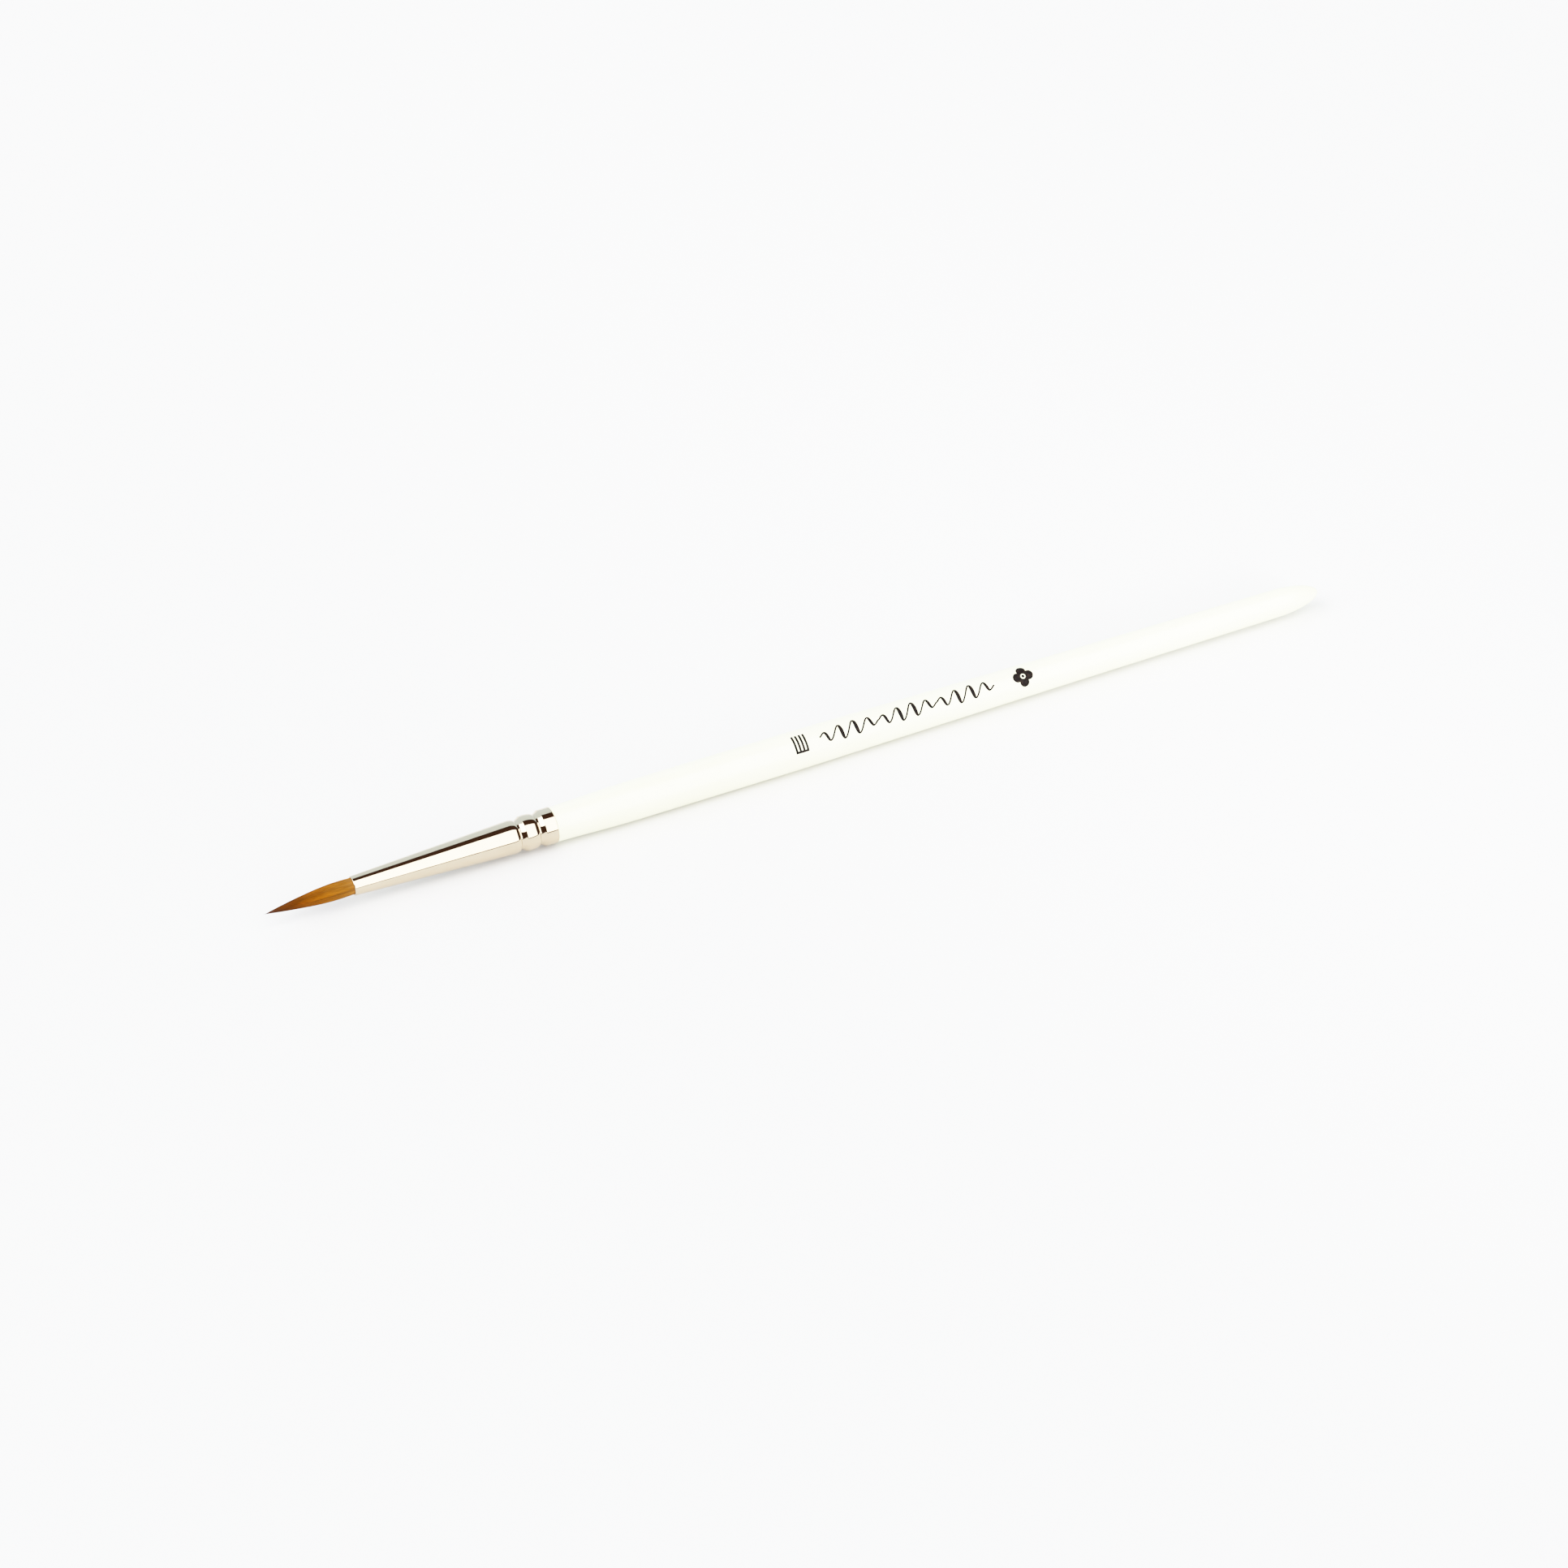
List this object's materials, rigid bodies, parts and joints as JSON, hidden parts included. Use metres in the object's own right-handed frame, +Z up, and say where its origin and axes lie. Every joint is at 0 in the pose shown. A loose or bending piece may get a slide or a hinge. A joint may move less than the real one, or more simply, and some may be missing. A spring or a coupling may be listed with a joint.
{
  "type": "fine detail brush",
  "caption": "Slim round paint brush for miniatures: pointed hair tuft in a conical, twice-crimped plated ferrule on a tapered white lacquered wooden handle.",
  "frame": {"origin": "under the middle of the brush's length, straight below its axis, on the plane that the handle's belly rests on", "axes": "+X along the brush from the hair's point to the butt of the handle, +Z up, +Y across"},
  "size_m": [0.1804, 0.0062, 0.0062],
  "materials": {
    "birch": "matte",
    "white_lacquer": "gloss",
    "nickel_plate": "polished",
    "tenon_glue": "satin",
    "epoxy_resin": "gloss",
    "cotton_thread": "matte",
    "tuft_hair": "satin",
    "black_foil": "satin"
  },
  "bodies": {
    "brush": {"handle_core": "birch", "handle_lacquer": "white_lacquer", "ferrule": "nickel_plate", "tenon_adhesive": "tenon_glue", "root_resin": "epoxy_resin", "binding_thread": "cotton_thread", "hair_root": "tuft_hair", "size_mark_foil": "black_foil", "flourish_foil": "black_foil", "emblem_foil": "black_foil"},
    "tuft_belly": {"hair_belly": "tuft_hair"},
    "tuft_shoulder": {"hair_shoulder": "tuft_hair"},
    "tuft_point": {"hair_point": "tuft_hair"}
  },
  "joints": [
    {"name": "heel_flex", "type": "hinge", "parent": "brush", "child": "tuft_belly", "pos_m": [-0.0778, 0, 0.00306], "axis": [0, 1, 0], "range_deg": [-20, 20], "stiffness_Nm_per_rad": 0.00004},
    {"name": "belly_flex", "type": "hinge", "parent": "tuft_belly", "child": "tuft_shoulder", "pos_m": [-0.082, 0, 0.00306], "axis": [0, 1, 0], "range_deg": [-30, 30], "stiffness_Nm_per_rad": 0.0000045},
    {"name": "point_flex", "type": "hinge", "parent": "tuft_shoulder", "child": "tuft_point", "pos_m": [-0.0861, 0, 0.00306], "axis": [0, 1, 0], "range_deg": [-40, 40], "stiffness_Nm_per_rad": 0.0000005}
  ]
}
